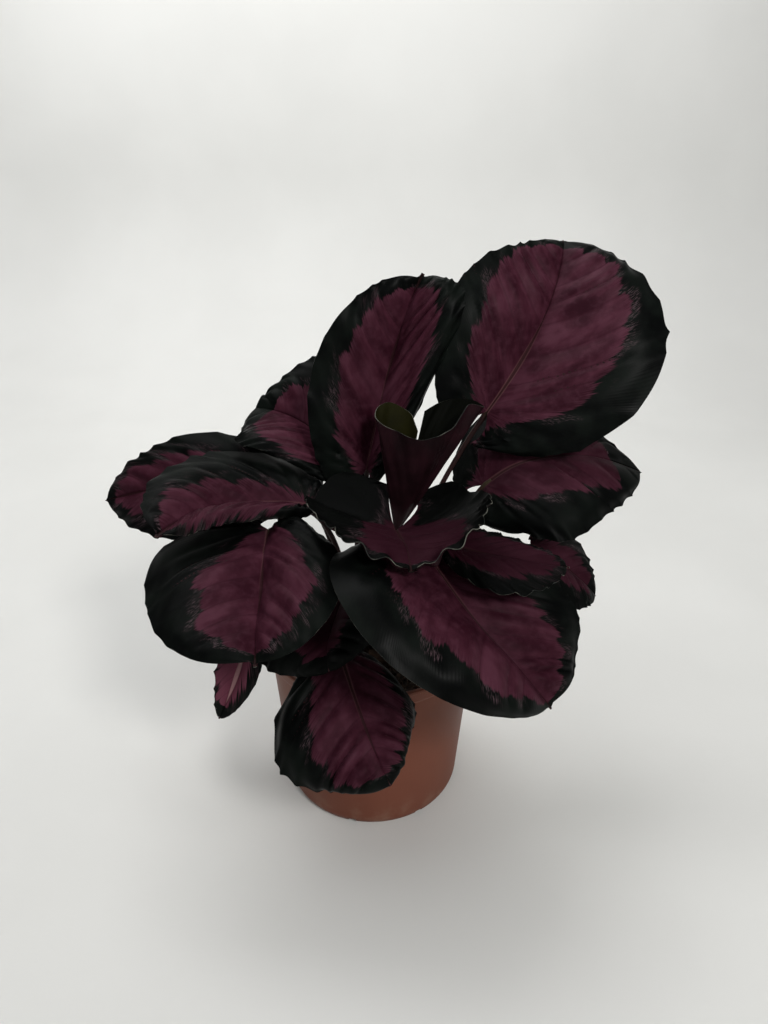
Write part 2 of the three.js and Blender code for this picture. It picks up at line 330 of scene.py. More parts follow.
peat_finish = finish("moist_peat", peat, Specular_IOR_Level=0.3)
rng = np.random.default_rng(41)
soil_foot = POT_FLOOR + SOIL_GAP
soil_inset = POT_WALL + SOIL_GAP
soil_radius = pot_radius(SOIL_LEVEL) - soil_inset
waves = [(rng.uniform(30, 210, 2), rng.uniform(0, 6.28, 2), rng.uniform(0.3, 1)) for _ in range(WAVES)]


def lumps(x, y):
    """The soil's unevenness, from -1 to 1 or so."""
    total = sum(a * math.sin(f[0] * x + p[0]) * math.sin(f[1] * y + p[1]) for f, p, a in waves)
    return total / 3


soil_points = [(0, 0, soil_foot)]
for radius, height in foot_line(soil_foot, soil_inset):
    for k in range(SOIL_SIDES):
        angle = 2 * math.pi * k / SOIL_SIDES
        soil_points.append((radius * math.cos(angle), radius * math.sin(angle), height))
for ring in range(SOIL_RINGS):
    share = 1 - ring / SOIL_RINGS
    for k in range(SOIL_SIDES):
        angle = 2 * math.pi * k / SOIL_SIDES
        radius = soil_radius * share
        x, y = radius * math.cos(angle), radius * math.sin(angle)
        edge = min(1, (1 - share) * 12)
        bump = LUMP_HEIGHT * lumps(x, y) + rng.normal(0, GRAIN_HEIGHT)
        soil_points.append((x, y, SOIL_LEVEL - SOIL_SINK + edge * bump))
soil_points.append((0, 0, SOIL_LEVEL - SOIL_SINK))
soil_faces = []
for k in range(SOIL_SIDES):
    turn = (k + 1) % SOIL_SIDES
    soil_faces.append((0, 1 + turn, 1 + k))
    for ring in range(SOIL_RINGS + POT_FOOT_STEPS):
        low = 1 + ring * SOIL_SIDES
        high = low + SOIL_SIDES
        soil_faces.append((low + k, low + turn, high + turn, high + k))
    top = len(soil_points) - 1
    soil_faces.append((top, top - SOIL_SIDES + k, top - SOIL_SIDES + turn))
soil = solid("soil", soil_points, soil_faces, [peat_finish], crease=80)
place(soil, "peat", "potting_soil")

crumb_mesh = bmesh.new()
for _ in range(CRUMBS):
    angle = rng.uniform(0, 2 * math.pi)
    radius = math.sqrt(rng.uniform(RHIZOME_RADIUS**2, (soil_radius - CRUMB_EDGE) ** 2))
    size = rng.uniform(*CRUMB_SIZES) * (BIG_CRUMB if rng.random() < BIG_CRUMB_SHARE else 1)
    x, y = radius * math.cos(angle), radius * math.sin(angle)
    lump = bmesh.ops.create_icosphere(crumb_mesh, subdivisions=1, radius=size)["verts"]
    squeeze = rng.uniform(0.5, 1.2, 3)
    for vert in lump:
        vert.co = Vector(np.array(vert.co) * squeeze * rng.uniform(0.75, 1.2))
    centre = (x, y, SOIL_LEVEL - CRUMB_SINK + LUMP_HEIGHT * lumps(x, y) + size * 0.35)
    bmesh.ops.translate(crumb_mesh, verts=lump, vec=centre)
crumb_data = bpy.data.meshes.new("soil_crumbs")
crumb_mesh.to_mesh(crumb_data)
crumb_mesh.free()
crumb_data.materials.append(peat_finish)
crumbs = bpy.data.objects.new("soil_crumbs", crumb_data)
bpy.context.scene.collection.objects.link(crumbs)
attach(crumbs, "root")

# The rhizome. The plant's short thick stem, brown and ringed by the scars of old leaves,
# which sits in the top of the soil and sends up every stalk.
RHIZOME_DEPTH = 0.014
RHIZOME_SIDES = 96
RHIZOME_EDGE = 0.006
RHIZOME_LUMPS = 0.05
BARK = (0.060, 0.030, 0.018, 1)
BARK_PALE = (0.16, 0.095, 0.055, 1)


def scaly_bark(tree):
    spot = node(tree, "TexCoord").outputs["Object"]
    ring = grain(tree, spot, 1.0, 5.0, stretch=(120, 120, 900))
    patch = grain(tree, spot, 140.0, 6.0)
    colour = blend(tree, ramp(tree, ring, 0.35, 0.7), BARK, BARK_PALE)
    colour = blend(tree, ramp(tree, patch, 0.45, 0.65, 0.0, 0.7), colour, PEAT)
    return colour, ramp(tree, patch, 0.3, 0.7, 0.6, 0.9), calc(tree, "ADD", ring, patch), 0.0008


bark = finish("scaly_bark", scaly_bark, Specular_IOR_Level=0.35)
rhizome_foot = RHIZOME_TOP - RHIZOME_DEPTH
rhizome_profile = rounded(
    [(0, rhizome_foot), (RHIZOME_RADIUS, rhizome_foot), (RHIZOME_RADIUS, RHIZOME_TOP), (0, RHIZOME_TOP)],
    RHIZOME_EDGE,
    steps=8,
)
rhizome_points, rhizome_faces = lathe(rhizome_profile, RHIZOME_SIDES)
rhizome_points = [
    (x * (1 + RHIZOME_LUMPS * lumps(3 * x, 3 * y)), y * (1 + RHIZOME_LUMPS * lumps(3 * y, 3 * x)), z)
    for x, y, z in rhizome_points
]
rhizome = solid("rhizome_stem", rhizome_points, rhizome_faces, [bark], crease=80)
place(rhizome, "rhizome_skin", "rhizome")

# The open leaf blades. Each is a thin sheet, satin above and matt purple-brown below, on
# a midrib that stands out underneath. Side veins run out to the margin and leave shallow
# pleats between them, and the crimson centre ends in streaks that follow the veins.
THICKNESS = 0.0005
WIDEST = 0.45
SINUS = (0.007, 0.007)
LIFT_CURVE = 1.3
SINUS_TURN = 0.8
TIP_TAPER = 0.85
ROUNDNESS = 0.6
ROWS_BEHIND = 12
ROWS_AHEAD = 100
COLUMNS = 34
TIP_POINT = 0.02
TIP_WIDTH = 0.16
LEAST_WIDTH = 0.004
PANELS = 7
PANEL_RANGE = (0.0110, 0.0205)
COLUMN_SPREAD = 1.3
VEIN_FAN = 0.42
VEIN_SPREAD = 0.30
FRILL_LENGTH = 0.017
UNEVEN = 0.0008
GROOVE_DEPTH = 0.0005
GROOVE_WIDTH = 0.0007
RIDGE_HEIGHT = 0.0016
RIDGE_LEAST = 0.0003
RIDGE_WIDTH = 0.0011

# base, middle and tip lie on the midrib, and left and right on the margin at the widest
# place, seen from above with the tip ahead. arch is how far each half bulges and lobe how
# far the blade reaches behind its stalk. blunt keeps a half full toward both its ends
# where it is under 1, sinus is the notch on each side and lift how far each lobe rises.
# centre is the crimson share of each half near the base, in the middle and near the tip,
# and end where it stops along the midrib. pleat, ruffle and droop are the depths of the
# pleats, the wavy margin and the hanging edge, and teeth how far each half's margin is
# pointed at the veins. frill is the depth of the waves across a blunt tip. age_and_shade
# darkens the whole leaf, partly for its age and partly as painted shade where other leaves
# shade it, and pale is how far it still is the pink of a new leaf.
BLADES = {
    "upper_right": dict(
        base=(0.082, 0.021, 0.293), middle=(0.122, 0.046, 0.354), tip=(0.140, 0.084, 0.402),
        left=(0.064, 0.041, 0.385), right=(0.199, 0.013, 0.336), arch=(0.004, 0.006), lobe=0.18,
        centre=((0.62, 0.72, 0.86), (0.62, 0.66, 0.66)), end=0.96,
        pleat=0.0026, ruffle=0.0020, droop=(0.0, 0.002), teeth=(0.0008, 0.0020)),
    "top": dict(
        base=(-0.003, 0.019, 0.251), middle=(0.014, 0.032, 0.326), tip=(0.034, 0.035, 0.383),
        left=(-0.037, 0.021, 0.333), right=(0.062, 0.020, 0.358), arch=(0.004, 0.009), lobe=0.14,
        blunt=(0.92, 1.11),
        centre=((0.62, 0.66, 0.62), (0.52, 0.64, 0.60)), end=0.94,
        pleat=0.0026, ruffle=0.0018, droop=(0.0, 0.004), teeth=(0.0008, 0.0014)),
    "back_left": dict(
        base=(-0.018, 0.026, 0.243), middle=(-0.047, 0.040, 0.276), tip=(-0.086, 0.055, 0.285),
        left=(-0.091, 0.013, 0.273), right=(-0.006, 0.065, 0.322), arch=(0.004, 0.004), lobe=0.12,
        blunt=(0.8, 1.5),
        centre=((0.80, 0.72, 0.52), (0.70, 0.58, 0.40)), end=0.86,
        pleat=0.0018, ruffle=0.0022, droop=(0.002, 0.0), teeth=(0.0010, 0.0016)),
    "far_left": dict(
        base=(-0.063, 0.026, 0.234), middle=(-0.134, 0.026, 0.235), tip=(-0.202, 0.037, 0.218),
        left=(-0.127, -0.005, 0.204), right=(-0.130, 0.043, 0.270), arch=(0.005, 0.005), lobe=0.03,
        centre=((0.60, 0.62, 0.60), (0.50, 0.58, 0.66)), end=0.97,
        pleat=0.0018, ruffle=0.0022, droop=(0.0, 0.0), age_and_shade=0.2, teeth=(0.0014, 0.0016)),
    "upper_left": dict(
        base=(-0.046, -0.006, 0.232), middle=(-0.101, -0.020, 0.238), tip=(-0.132, -0.062, 0.238),
        left=(-0.089, -0.044, 0.242), right=(-0.116, 0.019, 0.262), arch=(0.003, 0.005), lobe=0.12,
        blunt=(0.92, 0.83),
        centre=((0.90, 0.97, 0.86), (0.26, 0.38, 0.54)), end=0.97,
        pleat=0.0020, ruffle=0.0020, droop=(0.006, 0.0), age_and_shade=0.2, teeth=(0.0004, 0.0018)),
    "lower_left": dict(
        base=(-0.071, -0.016, 0.219), middle=(-0.069, -0.067, 0.205), tip=(-0.065, -0.122, 0.186),
        left=(-0.016, -0.093, 0.222), right=(-0.144, -0.068, 0.206), arch=(0.008, 0.008), lobe=0.12,
        blunt=(0.92, 0.54),
        centre=((0.44, 0.76, 0.64), (0.14, 0.48, 0.56)), end=0.97,
        pleat=0.0024, ruffle=0.0010, droop=(0.002, 0.003), age_and_shade=0.2, teeth=(0.0002, 0.0007)),
    "low_left": dict(
        base=(-0.078, -0.050, 0.174), middle=(-0.087, -0.070, 0.143), tip=(-0.100, -0.080, 0.112),
        left=(-0.073, -0.075, 0.142), right=(-0.098, -0.070, 0.159), arch=(0.002, 0.002), lobe=0.03,
        centre=((0.60, 0.52, 0.34), (0.94, 0.98, 0.84)), end=0.90,
        pleat=0.0010, ruffle=0.0014, droop=(0.0, 0.0), pale=0.9, teeth=(0.0004, 0.0016)),
    "low_middle": dict(
        base=(-0.014, -0.032, 0.188), middle=(-0.024, -0.068, 0.176), tip=(-0.025, -0.091, 0.158),
        left=(0.025, -0.072, 0.193), right=(-0.074, -0.062, 0.150), arch=(0.005, 0.005), lobe=0.03,
        centre=((0.30, 0.26, 0.20), (0.50, 0.56, 0.40)), end=0.86,
        pleat=0.0020, ruffle=0.0018, droop=(0.0, 0.0), age_and_shade=0.6, teeth=(0.0004, 0.0008)),
    "front": dict(
        base=(-0.022, -0.054, 0.149), middle=(-0.004, -0.104, 0.128), tip=(0.012, -0.125, 0.100),
        left=(0.031, -0.086, 0.128), right=(-0.060, -0.115, 0.106), arch=(0.007, 0.007), lobe=0.03,
        blunt=(1.19, 0.92),
        centre=((0.60, 0.64, 0.52), (0.40, 0.52, 0.60)), end=0.92,
        pleat=0.0036, ruffle=0.0026, droop=(0.004, 0.003), age_and_shade=0.15, teeth=(0.0002, 0.0013)),
    "front_right": dict(
        base=(0.036, -0.046, 0.216), middle=(0.065, -0.094, 0.195), tip=(0.109, -0.114, 0.149),
        left=(0.127, -0.072, 0.200), right=(-0.009, -0.133, 0.225), arch=(0.001, 0.008), lobe=0.03,
        blunt=(0.65, 0.96),
        centre=((0.50, 0.58, 0.64), (0.58, 0.63, 0.60)), end=1.0,
        pleat=0.0026, ruffle=0.0012, droop=(0.003, 0.004), age_and_shade=0.15, teeth=(0.0004, 0.0006)),
    "middle": dict(
        base=(0.017, -0.027, 0.222), middle=(0.021, -0.070, 0.236), tip=(0.025, -0.100, 0.236),
        left=(0.074, -0.057, 0.262), right=(-0.039, -0.057, 0.258), arch=(-0.007, -0.003), lobe=0.27,
        blunt=(0.42, 0.45), sinus=(0.019, 0.003), lift=(0.016, 0.032),
        centre=((0.50, 0.66, 0.66), (0.36, 0.36, 0.56)), end=0.95,
        pleat=0.0018, ruffle=0.0026, droop=(0.0, 0.0), age_and_shade=0.85, teeth=(0.0006, 0.0010),
        frill=0.0026),
    "right": dict(
        base=(0.043, -0.036, 0.225), middle=(0.080, -0.056, 0.219), tip=(0.121, -0.075, 0.223),
        left=(0.093, -0.029, 0.219), right=(0.077, -0.100, 0.218), arch=(0.003, 0.005), lobe=0.03,
        centre=((0.66, 0.66, 0.66), (0.66, 0.68, 0.66)), end=0.97,
        pleat=0.0016, ruffle=0.0032, droop=(0.0, 0.0), age_and_shade=0.82, teeth=(0.0006, -0.0022)),
    "far_right": dict(
        base=(0.117, 0.005, 0.195), middle=(0.146, 0.005, 0.176), tip=(0.168, 0.003, 0.155),
        left=(0.158, 0.035, 0.186), right=(0.135, -0.031, 0.167), arch=(0.003, 0.003), lobe=0.03,
        centre=((0.50, 0.50, 0.40), (0.60, 0.50, 0.40)), end=0.85,
        pleat=0.0014, ruffle=0.0018, droop=(0.0, 0.0), age_and_shade=0.5, teeth=(0.0010, 0.0010)),
    "middle_right": dict(
        base=(0.080, 0.004, 0.244), middle=(0.129, 0.009, 0.264), tip=(0.197, 0.026, 0.246),
        left=(0.112, 0.054, 0.290), right=(0.137, -0.044, 0.228), arch=(0.001, 0.005), lobe=0.17,
        centre=((0.60, 0.62, 0.60), (0.46, 0.50, 0.62)), end=0.84,
        pleat=0.0020, ruffle=0.0022, droop=(0.0, 0.003), age_and_shade=0.4, teeth=(0.0010, 0.0016)),
}

STREAKS = (1500, 60, 0)
BROAD_STREAKS = (300, 40, 0)
DASHES = (2600, 330, 0)
PATCHES = (45, 45, 0)
CLOUDS = (55, 45, 0)
FINE_VEINS = 5200.0
FIGURE_SHIFT = 0.37
LEAF_BLACK = (0.0018, 0.0022, 0.0021, 1)
LEAF_GREEN = (0.0048, 0.0068, 0.0054, 1)
CRIMSON = (0.060, 0.0152, 0.0265, 1)
CRIMSON_DEEP = (0.026, 0.0048, 0.0100, 1)
CRIMSON_PALE = (0.100, 0.034, 0.053, 1)
# The crimson of a darkened leaf: painted shade, with some darkening from age
CRIMSON_AGED_SHADED = (0.018, 0.0034, 0.0072, 1)
PINK = (0.135, 0.040, 0.062, 1)
LEAF_SHADED = (0.0008, 0.0010, 0.0009, 1)
SILVER = (0.20, 0.125, 0.145, 1)
RIB_PALE = (0.150, 0.068, 0.070, 1)
RIB_DARK = (0.020, 0.0075, 0.0080, 1)
RIB_WHITE = (0.34, 0.20, 0.20, 1)
UNDER = (0.024, 0.0064, 0.0100, 1)
UNDER_DEEP = (0.009, 0.0032, 0.0044, 1)
VEIN_UNDER = (0.050, 0.018, 0.020, 1)
RIM_GLINT = (0.11, 0.11, 0.09, 1)


def smooth(low, high, value):
    share = np.clip((value - low) / (high - low), 0, 1)
    return share * share * (3 - 2 * share)


def midrib_at(blade, share):
    """A point on the midrib and the direction to the tip there, straight on past both ends."""
    base, middle, tip = (np.array(blade[k]) for k in ("base", "middle", "tip"))
    bend = 2 * middle - (base + tip) / 2
    on = min(max(share, 0), 1)
    point = (1 - on) ** 2 * base + 2 * on * (1 - on) * bend + on**2 * tip
    slope = 2 * (1 - on) * (bend - base) + 2 * on * (tip - bend)
    return point, slope / np.linalg.norm(slope)


def midrib_length(blade):
    spots = [midrib_at(blade, k / 60)[0] for k in range(61)]
    return sum(np.linalg.norm(b - a) for a, b in zip(spots, spots[1:]))


def fullness(share):
    """How wide a blade is at a share of its whole length, 1 at the widest."""
    return math.sin(math.pi * min(max(share, 0), 1) ** TIP_TAPER) ** ROUNDNESS


def swing(vectors, before, after):
    """Vectors turned by the smallest turn that takes one direction to another."""
    axis = np.cross(before, after)
    cosine = float(before @ after)
    along = vectors @ axis
    return vectors * cosine + np.cross(axis, vectors) + np.outer(along, axis) / (1 + cosine)


def vein_number(row, share, out, length, panel):
    """Which side vein passes through a point, counted along the midrib from the base. The
    veins leave it at a steady angle and close up at the tip. Below the first they fan out
    from the base, so their numbers are negative."""
    fan = VEIN_FAN * share**1.1 + 1e-6
    root = np.sqrt(np.maximum(1 - 4 * fan * (row - fan), 0))
    met = (1 - root) / (2 * fan)
    first = np.arctan2(fan * length, out + 1e-6)
    here = np.arctan2(row * length, out + 1e-6)
    return np.where(row > fan, met * length / panel, (here - first) / VEIN_SPREAD)


def sheet_normals(points, quads):
    flat = np.array(quads)
    normals = np.zeros_like(points)
    cross = np.cross(points[flat[:, 2]] - points[flat[:, 0]], points[flat[:, 3]] - points[flat[:, 1]])
    for corner in range(4):
        np.add.at(normals, flat[:, corner], cross)
    return normals / (np.linalg.norm(normals, axis=1, keepdims=True) + 1e-12)


def thick_sheet(points, quads, stand):
    """Two skins THICKNESS apart and the wall round their edge, where stand is how far the
    under skin stands out more at each point."""
    normals = sheet_normals(points, quads)
    upper = points + normals * THICKNESS / 2
    lower = points - normals * (THICKNESS / 2 + stand[:, None])
    count = len(points)
    used = {(a, b) for quad in quads for a, b in zip(quad, quad[1:] + quad[:1])}
    wall = [(b, a, count + a, count + b) for a, b in sorted(used) if (b, a) not in used]
    below = [tuple(count + k for k in reversed(quad)) for quad in quads]
    kinds = [0] * len(quads) + [1] * len(below) + [2] * len(wall)
    return np.vstack([upper, lower]), list(quads) + below + wall, kinds


def blade_sheet(blade, seed):
    """The sheet's points and quads, how far its midrib stands out below, and the values
    that place its figure: the distances across the veins, out from the midrib and inside
    the crimson centre, and then the vein number and the row by themselves."""
    chance = np.random.default_rng(seed)
    length = midrib_length(blade)
    panel = min(max(length / PANELS, PANEL_RANGE[0]), PANEL_RANGE[1])
    wide_point, wide_heading = midrib_at(blade, WIDEST)
    _, first_heading = midrib_at(blade, 0)
    lobe = blade["lobe"]
    up = np.cross(np.array(blade["right"]) - np.array(blade["left"]), wide_heading)
    up /= np.linalg.norm(up)
    rows = [-lobe * math.cos(k / ROWS_BEHIND * math.pi / 2) for k in range(ROWS_BEHIND)]
    rows += [math.sin(k / ROWS_AHEAD * math.pi / 2) for k in range(ROWS_AHEAD + 1)]
    rows += [1 + TIP_POINT * k / 3 for k in range(1, 4)]
    shares = (np.arange(COLUMNS + 1) / COLUMNS) ** COLUMN_SPREAD
    end = blade["end"]
    stops = (-0.12, 0.12, 0.5, 0.82, end - 0.04, end)
    points, values, lines = [], [], []
    for row in rows:
        origin, heading = midrib_at(blade, row)
        behind = max(-row, 0)
        back = behind / lobe
        origin = origin - first_heading * length * behind + heading * length * max(row - 1, 0)
        full = fullness((row + lobe) / (1 + lobe)) / fullness((WIDEST + lobe) / (1 + lobe))
        pointed = TIP_WIDTH * (1 - smooth(1 - 2 * TIP_POINT, 1 + TIP_POINT, row)) * (row > 0.5)
        line = []
        for side in (0, 1):
            wide = max(full ** blade.get("blunt", (1, 1))[side], pointed, LEAST_WIDTH)
            start = origin + up * blade.get("lift", (0, 0))[side] * back**LIFT_CURVE
            out = np.array(blade[("left", "right")[side]]) - wide_point
            reach = np.linalg.norm(out)
            rise = up - out * (up @ out) / reach**2
            rise /= np.linalg.norm(rise)
            wide_open = math.sin(math.pi * SINUS_TURN * back)
            notch = blade.get("sinus", SINUS)[side] / reach * wide_open
            where = notch + shares * wide * (1 - notch)
            bulge = 4 * blade["arch"][side] * shares * (1 - shares) * wide
            offset = swing(np.outer(where, out) + np.outer(bulge, rise), wide_heading, heading)
            vein = vein_number(row, where / max(where[-1], 1e-6), where * reach, length, panel)
            early, mid, late = blade["centre"][side]
            share_in = np.interp(row, stops, (0, early, mid, late, 0.7 * late, 0))
            inside = (share_in - shares) * max(wide * (1 - notch) * reach, 1e-4)
            inside = inside - 0.02 * smooth(end - 0.03, end + 0.06, row)
            indices = []
            for k in range(COLUMNS + 1):
                if side == 1 and k == 0 and row >= 0:
                    indices.append(line[0][0])
                    continue
                indices.append(len(points))
                points.append(start + offset[k])
                values.append((vein[k], where[k] * reach, inside[k], shares[k], row, side))
            line.append(indices)
        lines.append(line)
    quads = []
    for here, ahead in zip(lines, lines[1:]):
        for k in range(COLUMNS):
            quads.append((here[0][k + 1], here[0][k], ahead[0][k], ahead[0][k + 1]))
            quads.append((here[1][k], here[1][k + 1], ahead[1][k + 1], ahead[1][k]))
    points = np.array(points)
    vein, out, inside, share, row, side = np.array(values).T
    # The veins are not evenly spaced, and each panel between two bulges by its own amount
    shift = chance.uniform(0, 6.28, 4)
    vein = vein + 0.20 * np.sin(1.7 * vein + shift[0]) + 0.10 * np.sin(3.7 * vein + shift[1])
    number = np.floor(vein).astype(int)
    at = vein - number
    strength = chance.uniform(0.35, 1.35, (2, 64))[side.astype(int), number % 64]
    point_size = chance.uniform(0.1, 1.3, (2, 64)) ** 1.5
    tip_calm = 1 - smooth(0.88, 1.0, row)
    hump = np.sin(np.pi * at**0.85)
    inner = smooth(0, 0.25, share) * (1 - smooth(0.62, 1.0, share)) * smooth(0, 0.010, out)
    outer = smooth(0.55, 1, share) * smooth(0.002, 0.018, out)
    relief = blade["pleat"] * strength * (hump - 0.3) * inner * tip_calm
    relief -= blade["ruffle"] * strength * (hump - 0.45) * outer * tip_calm
    droop = np.where(side > 0, blade["droop"][1], blade["droop"][0])
    relief -= droop * smooth(0.7, 1, share) ** 2 * tip_calm
    for _ in range(5):
        f, g = chance.uniform(25, 110, 2)
        a, b = chance.uniform(0, 6.28, 2)
        relief += UNEVEN * np.sin(f * out * (1 - 2 * side) + a) * np.sin(g * row * length + b)
    relief -= GROOVE_DEPTH * np.exp(-((out / GROOVE_WIDTH) ** 2))
    frill = np.sin(2 * np.pi * out / FRILL_LENGTH + 2.2 * side) * smooth(0.72, 1.0, row)
    relief += blade.get("frill", 0) * frill * smooth(0.003, 0.012, out)
    # The margin has a small point where each side vein meets it
    nearest = np.round(vein).astype(int)
    size = np.where(side > 0, blade["teeth"][1], blade["teeth"][0])
    size = size * point_size[side.astype(int), nearest % 64]
    tooth = size * (1 - np.abs(np.sin(np.pi * vein))) * smooth(0.86, 1, share) * tip_calm
    outward = np.zeros_like(points)
    for line in lines:
        for indices in line:
            run = points[indices[-1]] - points[indices[-4]]
            outward[indices[-7:]] = run / (np.linalg.norm(run) + 1e-9)
    normals = sheet_normals(points, quads)
    points = points + normals * relief[:, None] + outward * tooth[:, None]
    ridge = RIDGE_HEIGHT * (1 - smooth(0, 1.0, row)) + RIDGE_LEAST
    ridge_half = RIDGE_WIDTH * (1 - 0.7 * smooth(0, 1.0, row))
    stand = ridge * np.sqrt(np.clip(1 - (out / ridge_half) ** 2, 0, 1)) * (row >= 0)
    signed = out * (1 - 2 * side)
    return points, quads, stand, np.stack([vein * panel, signed, inside], axis=1), vein, row


def leaf_figure():
    """The blade's figure as a node group: the crimson centre, the silvery dashes outside
    its edge and the paler streaks inside it, the relief of its fine veins, a tone for
    each panel, and the lines of the midrib, of its pale borders and of the side veins."""
    tree = bpy.data.node_groups.new("leaf_figure", "ShaderNodeTree")
    names = ("Centre", "Fleck", "Sheen", "Relief", "Tone", "Midrib", "Border", "Vein")
    for name in names:
        tree.interface.new_socket(name, in_out="OUTPUT", socket_type="NodeSocketFloat")
    lines = node(tree, "Attribute", attribute_name="lines").outputs["Vector"]
    parts = node(tree, "SeparateXYZ", {"Vector": lines})
    inside = parts.outputs["Z"]
    out = calc(tree, "ABSOLUTE", parts.outputs["Y"])
    vein = node(tree, "Attribute", attribute_name="vein").outputs["Fac"]
    row = node(tree, "Attribute", attribute_name="row").outputs["Fac"]
    # Streaks run along the side veins, so they are fine across them and long along them
    streak = grain(tree, lines, 1.0, 4.0, stretch=STREAKS)
    broad = grain(tree, lines, 1.0, 2.0, stretch=BROAD_STREAKS)
    flip = calc(tree, "SIGN", parts.outputs["Y"])
    spot = node(tree, "CombineXYZ", {"X": calc(tree, "FLOOR", vein), "Y": flip})
    jump = node(tree, "TexWhiteNoise", {"Vector": spot.outputs[0]}, noise_dimensions="2D")
    edge = calc(tree, "MULTIPLY_ADD", calc(tree, "SUBTRACT", streak, 0.5), 0.0065, inside)
    edge = calc(tree, "MULTIPLY_ADD", calc(tree, "SUBTRACT", broad, 0.5), 0.010, edge)
    step = calc(tree, "SUBTRACT", jump.outputs["Value"], 0.5)
    edge = calc(tree, "MULTIPLY_ADD", step, 0.005, edge)
    # The centre reaches furthest out in the middle of each panel, so its edge is lobed
    off = calc(tree, "ABSOLUTE", calc(tree, "SUBTRACT", vein, calc(tree, "ROUND", vein)))
    edge = calc(tree, "ADD", ramp(tree, off, 0.0, 0.3, -0.0022, 0.0008), edge)
    centre = ramp(tree, edge, -0.0013, 0.0011)
    # Short pale dashes lie along the veins in a band outside the centre
    near = ramp(tree, calc(tree, "ABSOLUTE", calc(tree, "ADD", edge, 0.0040)), 0.0022, 0.0052, 1.0, 0.0)
    dash = ramp(tree, grain(tree, lines, 1.0, 2.0, stretch=DASHES), 0.50, 0.62)
    patchy = ramp(tree, grain(tree, lines, 1.0, 1.0, stretch=PATCHES), 0.46, 0.66, 0.0, 1.0)
    fleck = calc(tree, "MULTIPLY", calc(tree, "MULTIPLY", near, dash), patchy)
    # The crimson pales in fine streaks toward its edge
    inner = ramp(tree, edge, 0.0, 0.009, 1.0, 0.0)
    sheen = calc(tree, "MULTIPLY", inner, ramp(tree, streak, 0.45, 0.62))
    wave = calc(tree, "SINE", calc(tree, "MULTIPLY", parts.outputs["X"], FINE_VEINS))
    relief = calc(tree, "MULTIPLY_ADD", wave, 0.25, streak)
    cloud = ramp(tree, grain(tree, lines, 1.0, 3.0, stretch=CLOUDS), 0.30, 0.70)
    tone = calc(tree, "MULTIPLY_ADD", jump.outputs["Value"], 0.20, calc(tree, "MULTIPLY", cloud, 0.60))
    tone = calc(tree, "MULTIPLY_ADD", broad, 0.20, tone)
    # The midrib narrows from the stalk to the tip
    out_in_ribs = calc(tree, "DIVIDE", out, ramp(tree, row, 0.0, 0.9, 0.0010, 0.00035))
    midrib = ramp(tree, out_in_ribs, 0.7, 1.2, 1.0, 0.0)
    border = ramp(tree, out_in_ribs, 1.1, 2.4, 1.0, 0.0)
    border = calc(tree, "MULTIPLY", border, ramp(tree, row, 0.10, 0.60, 1.0, 0.0))
    line = ramp(tree, off, 0.008, 0.06, 1.0, 0.0)
    group_out = tree.nodes.new("NodeGroupOutput")
    for name, socket in zip(names, (centre, fleck, sheen, relief, tone, midrib, border, line)):
        tree.links.new(socket, group_out.inputs[name])
    return tree


figure = leaf_figure()


def use_figure(tree):
    made = tree.nodes.new("ShaderNodeGroup")
    made.node_tree = figure
    return made.outputs


def blade_above(tree):
    shown = use_figure(tree)
    spot = node(tree, "TexCoord").outputs["Object"]
    cloud = grain(tree, spot, 45.0, 3.0)
    mottle = grain(tree, spot, 190.0, 4.0)
    dark = blend(tree, ramp(tree, cloud, 0.35, 0.7), LEAF_BLACK, LEAF_GREEN)
    pale = node(tree, "Attribute", attribute_name="pale").outputs["Fac"]
    pink = blend(tree, ramp(tree, shown["Tone"], 0.15, 0.85), CRIMSON_DEEP, CRIMSON)
    pink = blend(tree, ramp(tree, shown["Tone"], 0.62, 0.95, 0.0, 0.45), pink, CRIMSON_PALE)
    pink = blend(tree, ramp(tree, mottle, 0.42, 0.72, 0.0, 0.24), pink, CRIMSON_PALE)
    pink = blend(tree, pale, pink, PINK)
    pink = blend(tree, calc(tree, "MULTIPLY", shown["Sheen"], 0.45), pink, CRIMSON_PALE)
    # The crimson darkens along each side vein, where the blade is creased: partly the veins' own colour,
    # partly painted crease shade
    pink = blend(tree, calc(tree, "MULTIPLY", shown["Vein"], 0.30), pink, CRIMSON_DEEP)
    pink = blend(tree, calc(tree, "MULTIPLY", shown["Border"], 0.65), pink, RIB_PALE)
    # Leaves in the shadow of others are darkened whole, crimson and margin alike: painted shade, with some
    # darkening from age
    age_and_shade = node(tree, "Attribute", attribute_name="age_and_shade").outputs["Fac"]
    pink = blend(tree, age_and_shade, pink, CRIMSON_AGED_SHADED)
    dark = blend(tree, age_and_shade, dark, LEAF_SHADED)
    colour = blend(tree, shown["Centre"], dark, pink)
    colour = blend(tree, calc(tree, "MULTIPLY", shown["Fleck"], 0.34), colour, SILVER)
    rib = blend(tree, pale, RIB_DARK, RIB_WHITE)
    colour = blend(tree, calc(tree, "MULTIPLY", shown["Midrib"], 0.70), colour, rib)
    colour = blend(tree, calc(tree, "MULTIPLY", shown["Border"], pale), colour, RIB_WHITE)
    rough = ramp(tree, cloud, 0.3, 0.7, 0.32, 0.46)
    rough = calc(tree, "MULTIPLY_ADD", shown["Centre"], 0.10, rough)
    rough = calc(tree, "MULTIPLY_ADD", age_and_shade, 0.25, rough)
    return colour, rough, shown["Relief"], 0.00004


